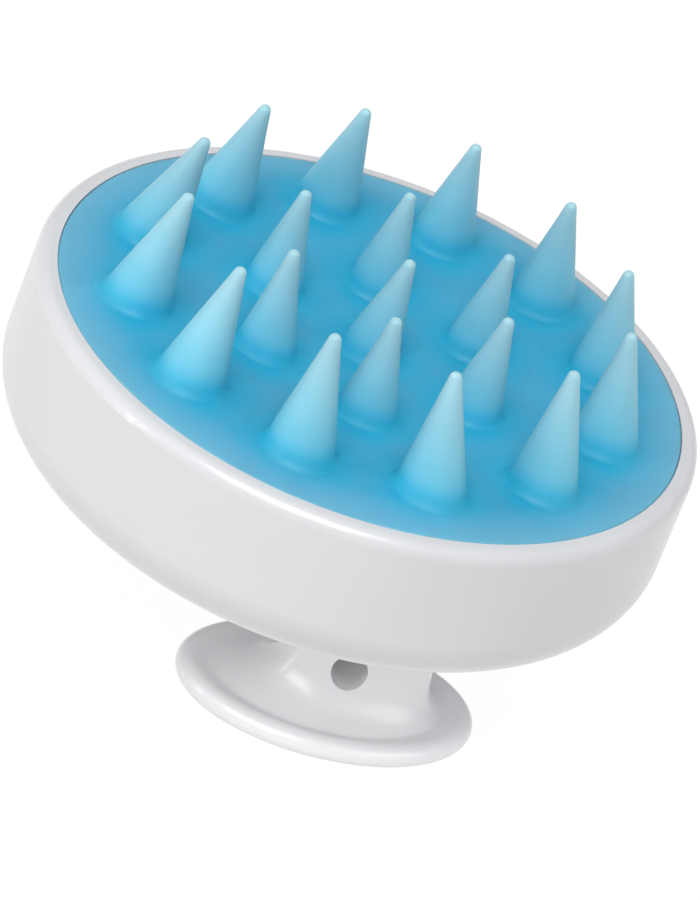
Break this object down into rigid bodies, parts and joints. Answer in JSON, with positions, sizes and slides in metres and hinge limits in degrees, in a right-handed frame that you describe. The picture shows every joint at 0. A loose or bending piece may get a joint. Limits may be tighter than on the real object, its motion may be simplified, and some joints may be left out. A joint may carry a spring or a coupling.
{
  "type": "scalp massager brush",
  "caption": "Round hand-held scalp massager with a soft cone-bristle pad in a glossy cup on an oval finger-grip handle.",
  "frame": {"origin": "on the axis of the round head, at the level of the handle's flat foot", "axes": "+Z from the foot to the bristle tips, along the head's axis; +X along the oval foot's long side, towards the side to which the handle is set off; +Y through the hanging hole"},
  "size_m": [0.085, 0.085, 0.071],
  "materials": {
    "white_gloss": "glossy moulded",
    "blue_silicone": "satin translucent",
    "inner_plastic": "matte moulded",
    "screw_steel": "zinc plated"
  },
  "bodies": {
    "root": {"head_shell": "white_gloss", "handle": "white_gloss", "bristle_pad": "blue_silicone", "backing_plate": "inner_plastic", "plate_screws": "screw_steel", "handle_screws": "screw_steel"}
  },
  "joints": []
}
